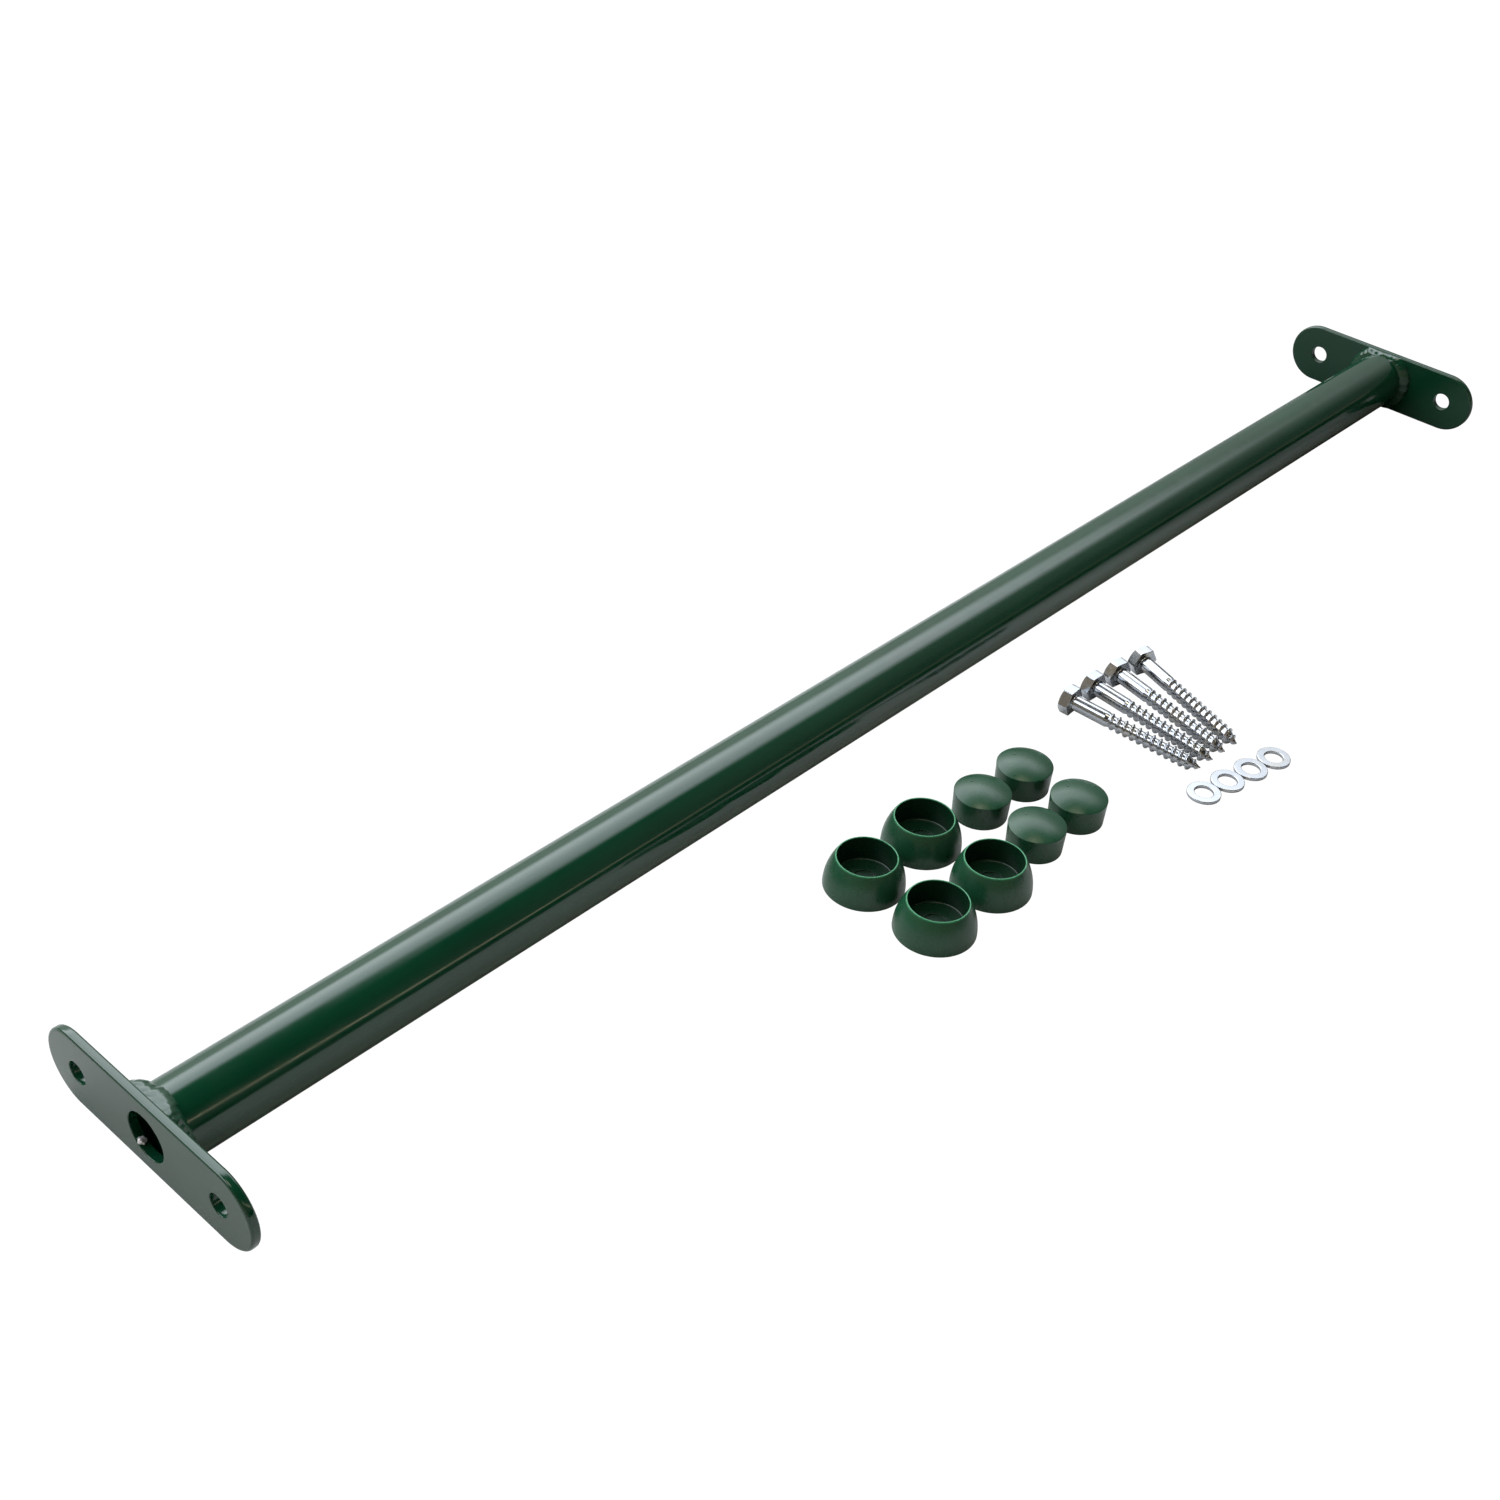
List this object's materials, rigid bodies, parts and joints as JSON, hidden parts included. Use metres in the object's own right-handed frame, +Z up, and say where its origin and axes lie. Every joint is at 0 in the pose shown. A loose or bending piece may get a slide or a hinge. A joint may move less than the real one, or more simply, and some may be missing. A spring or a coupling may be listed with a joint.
{
  "type": "monkey bar",
  "caption": "Steel rung of a monkey bar frame: a round tube with a drilled, round-ended plate welded to each end, laid out with its coach screws, washers and two-part screw covers.",
  "frame": {"origin": "middle of the tube, on its axis", "axes": "+X along the bar towards the right end plate, +Z up, with the end plates standing on their long lower edges; the loose fittings lie on the -Y side"},
  "size_m": [0.9, 0.2217, 0.035],
  "materials": {
    "green_powder_coat": "gloss dark green powder coat on steel",
    "zinc_plate": "bright zinc plate",
    "green_plastic": "satin moulded dark green plastic"
  },
  "bodies": {
    "bar": {"tube": "green_powder_coat", "end_plate_left": "green_powder_coat", "end_plate_right": "green_powder_coat", "weld_left": "green_powder_coat", "weld_right": "green_powder_coat"},
    "lag_screw_1_body": {"lag_screw_1": "zinc_plate"},
    "lag_screw_2_body": {"lag_screw_2": "zinc_plate"},
    "lag_screw_3_body": {"lag_screw_3": "zinc_plate"},
    "lag_screw_4_body": {"lag_screw_4": "zinc_plate"},
    "washer_1_body": {"washer_1": "zinc_plate"},
    "washer_2_body": {"washer_2": "zinc_plate"},
    "washer_3_body": {"washer_3": "zinc_plate"},
    "washer_4_body": {"washer_4": "zinc_plate"},
    "cover_base_1_body": {"cover_base_1": "green_plastic"},
    "cover_base_2_body": {"cover_base_2": "green_plastic"},
    "cover_base_3_body": {"cover_base_3": "green_plastic"},
    "cover_base_4_body": {"cover_base_4": "green_plastic"},
    "cover_cap_1_body": {"cover_cap_1": "green_plastic"},
    "cover_cap_2_body": {"cover_cap_2": "green_plastic"},
    "cover_cap_3_body": {"cover_cap_3": "green_plastic"},
    "cover_cap_4_body": {"cover_cap_4": "green_plastic"}
  },
  "joints": [
    {"name": "lag_screw_1_lift", "type": "slide", "parent": "bar", "child": "lag_screw_1_body", "axis": [0, 0, 1], "range_m": [0, 0.06]},
    {"name": "lag_screw_2_lift", "type": "slide", "parent": "bar", "child": "lag_screw_2_body", "axis": [0, 0, 1], "range_m": [0, 0.06]},
    {"name": "lag_screw_3_lift", "type": "slide", "parent": "bar", "child": "lag_screw_3_body", "axis": [0, 0, 1], "range_m": [0, 0.06]},
    {"name": "lag_screw_4_lift", "type": "slide", "parent": "bar", "child": "lag_screw_4_body", "axis": [0, 0, 1], "range_m": [0, 0.06]},
    {"name": "washer_1_lift", "type": "slide", "parent": "bar", "child": "washer_1_body", "axis": [0, 0, 1], "range_m": [0, 0.06]},
    {"name": "washer_2_lift", "type": "slide", "parent": "bar", "child": "washer_2_body", "axis": [0, 0, 1], "range_m": [0, 0.06]},
    {"name": "washer_3_lift", "type": "slide", "parent": "bar", "child": "washer_3_body", "axis": [0, 0, 1], "range_m": [0, 0.06]},
    {"name": "washer_4_lift", "type": "slide", "parent": "bar", "child": "washer_4_body", "axis": [0, 0, 1], "range_m": [0, 0.06]},
    {"name": "cover_base_1_lift", "type": "slide", "parent": "bar", "child": "cover_base_1_body", "axis": [0, 0, 1], "range_m": [0, 0.06]},
    {"name": "cover_base_2_lift", "type": "slide", "parent": "bar", "child": "cover_base_2_body", "axis": [0, 0, 1], "range_m": [0, 0.06]},
    {"name": "cover_base_3_lift", "type": "slide", "parent": "bar", "child": "cover_base_3_body", "axis": [0, 0, 1], "range_m": [0, 0.06]},
    {"name": "cover_base_4_lift", "type": "slide", "parent": "bar", "child": "cover_base_4_body", "axis": [0, 0, 1], "range_m": [0, 0.06]},
    {"name": "cover_cap_1_lift", "type": "slide", "parent": "bar", "child": "cover_cap_1_body", "axis": [0, 0, 1], "range_m": [0, 0.06]},
    {"name": "cover_cap_2_lift", "type": "slide", "parent": "bar", "child": "cover_cap_2_body", "axis": [0, 0, 1], "range_m": [0, 0.06]},
    {"name": "cover_cap_3_lift", "type": "slide", "parent": "bar", "child": "cover_cap_3_body", "axis": [0, 0, 1], "range_m": [0, 0.06]},
    {"name": "cover_cap_4_lift", "type": "slide", "parent": "bar", "child": "cover_cap_4_body", "axis": [0, 0, 1], "range_m": [0, 0.06]}
  ]
}
